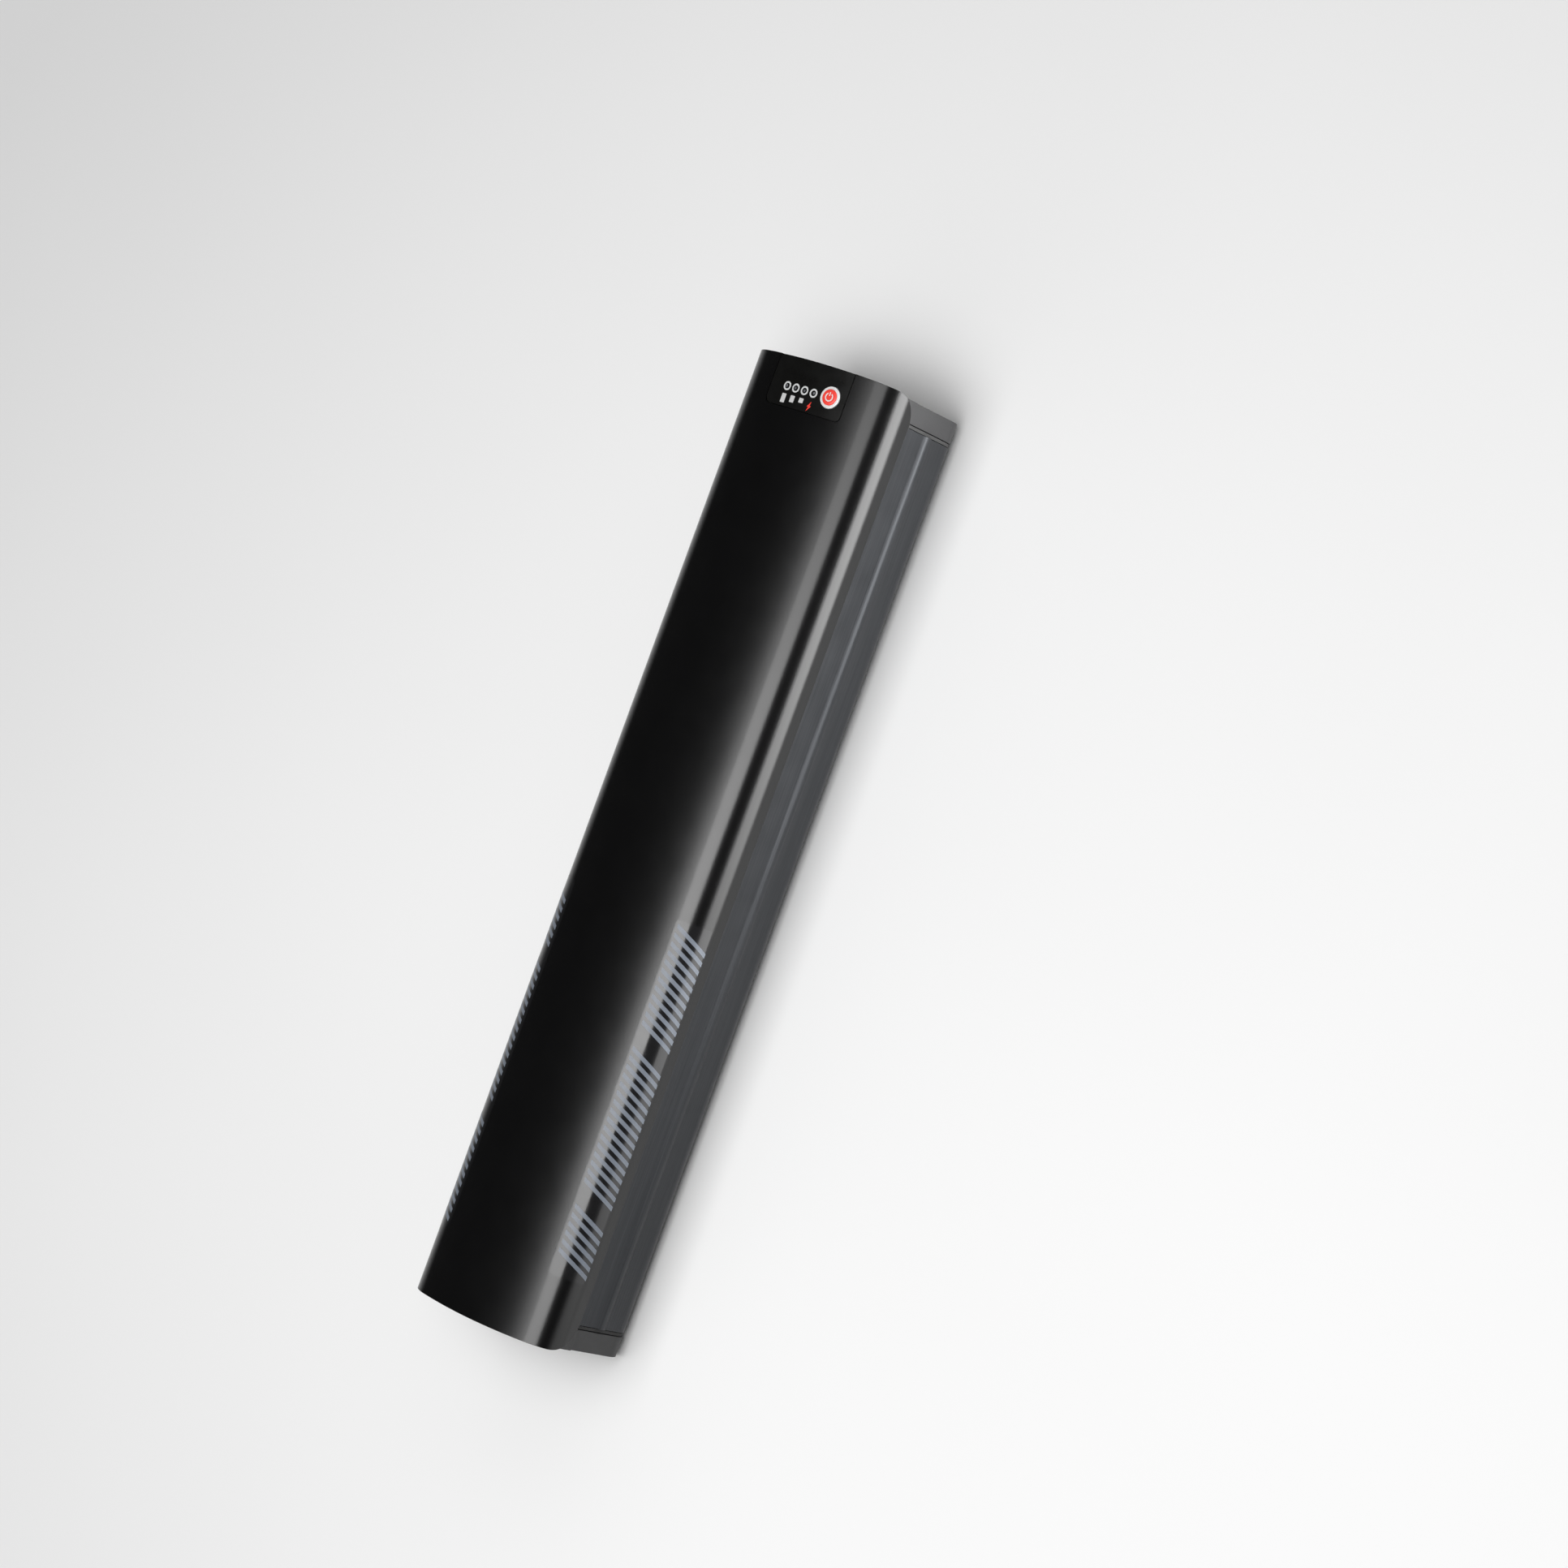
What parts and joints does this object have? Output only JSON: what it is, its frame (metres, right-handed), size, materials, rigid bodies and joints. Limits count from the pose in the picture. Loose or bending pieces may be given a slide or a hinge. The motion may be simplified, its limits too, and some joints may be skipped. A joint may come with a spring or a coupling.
{
  "type": "e-bike down-tube battery pack",
  "caption": "Slim battery pack for an electric bicycle's down tube, with a crowned black cover, charge indicator, power button and keyed plug end.",
  "frame": {"origin": "bottom centre of the pack, under the middle of the case's floor", "axes": "+X along the down tube towards the indicator end, +Z out through the crowned cover, +Y to the bicycle's left"},
  "size_m": [0.392, 0.074, 0.0625],
  "materials": {
    "cover_black": "satin black paint with a fine orange peel",
    "case_grey": "dark grey anodised extrusion",
    "cap_black": "fine spark-eroded texture",
    "seal_rubber": "matt moulded rubber",
    "panel_charcoal": "grainy charcoal film",
    "button_red": "raised red disc in a white ring",
    "switch_grey": "plain moulded",
    "board_green": "solder-resist green",
    "lamp_clear": "clear moulded, lamps off",
    "socket_black": "glass-filled moulding",
    "contact_brass": "gold-flashed",
    "strike_steel": "stamped, zinc plated",
    "screw_steel": "black oxide",
    "cell_sleeve": "shrink sleeve",
    "cradle_white": "natural moulded"
  },
  "bodies": {
    "pack": {"top_cover": "cover_black", "lower_case": "case_grey", "lower_end_cap": "cap_black", "upper_end_cap": "cap_black", "lower_gasket": "seal_rubber", "upper_gasket": "seal_rubber", "indicator_panel": "panel_charcoal", "indicator_board": "board_green", "light_guide": "lamp_clear", "discharge_socket": "socket_black", "power_contact_positive": "contact_brass", "power_contact_negative": "contact_brass", "signal_contact": "contact_brass", "charge_socket": "socket_black", "lock_strike": "strike_steel", "protection_board": "board_green", "lower_cradle": "cradle_white", "middle_cradle": "cradle_white", "upper_cradle": "cradle_white", "lower_cap_screw_1": "screw_steel", "lower_cap_screw_2": "screw_steel", "lower_cap_screw_3": "screw_steel", "lower_cap_screw_4": "screw_steel", "upper_cap_screw_1": "screw_steel", "upper_cap_screw_2": "screw_steel", "upper_cap_screw_3": "screw_steel", "upper_cap_screw_4": "screw_steel", "cell_01": "cell_sleeve", "cell_02": "cell_sleeve", "cell_03": "cell_sleeve", "cell_04": "cell_sleeve", "cell_05": "cell_sleeve", "cell_06": "cell_sleeve", "cell_07": "cell_sleeve", "cell_08": "cell_sleeve", "cell_09": "cell_sleeve", "cell_10": "cell_sleeve", "cell_11": "cell_sleeve", "cell_12": "cell_sleeve", "cell_13": "cell_sleeve", "cell_14": "cell_sleeve", "cell_15": "cell_sleeve", "cell_16": "cell_sleeve", "cell_17": "cell_sleeve", "cell_18": "cell_sleeve", "cell_19": "cell_sleeve", "cell_20": "cell_sleeve", "cell_21": "cell_sleeve", "cell_22": "cell_sleeve", "cell_23": "cell_sleeve", "cell_24": "cell_sleeve", "cell_25": "cell_sleeve", "cell_26": "cell_sleeve", "cell_27": "cell_sleeve", "cell_28": "cell_sleeve", "cell_29": "cell_sleeve", "cell_30": "cell_sleeve"},
    "button": {"power_button": "button_red"},
    "plunger": {"switch_plunger": "switch_grey"},
    "flap": {"charge_flap": "seal_rubber"}
  },
  "joints": [
    {"name": "button_press", "type": "slide", "parent": "pack", "child": "button", "axis": [0, 0.0933, -0.9956], "range_m": [0, 0.0006], "stiffness_N_per_m": 400},
    {"name": "plunger_press", "type": "slide", "parent": "pack", "child": "plunger", "axis": [0, 0.0933, -0.9956], "range_m": [0, 0.0006], "stiffness_N_per_m": 200},
    {"name": "flap_swing", "type": "hinge", "parent": "pack", "child": "flap", "pos_m": [0.193, 0.012, 0.0344], "axis": [0, -1, 0], "range_deg": [0, 100]}
  ],
  "couplings": [
    {"joint": "plunger_press", "follows": "button_press", "ratio": 1}
  ]
}
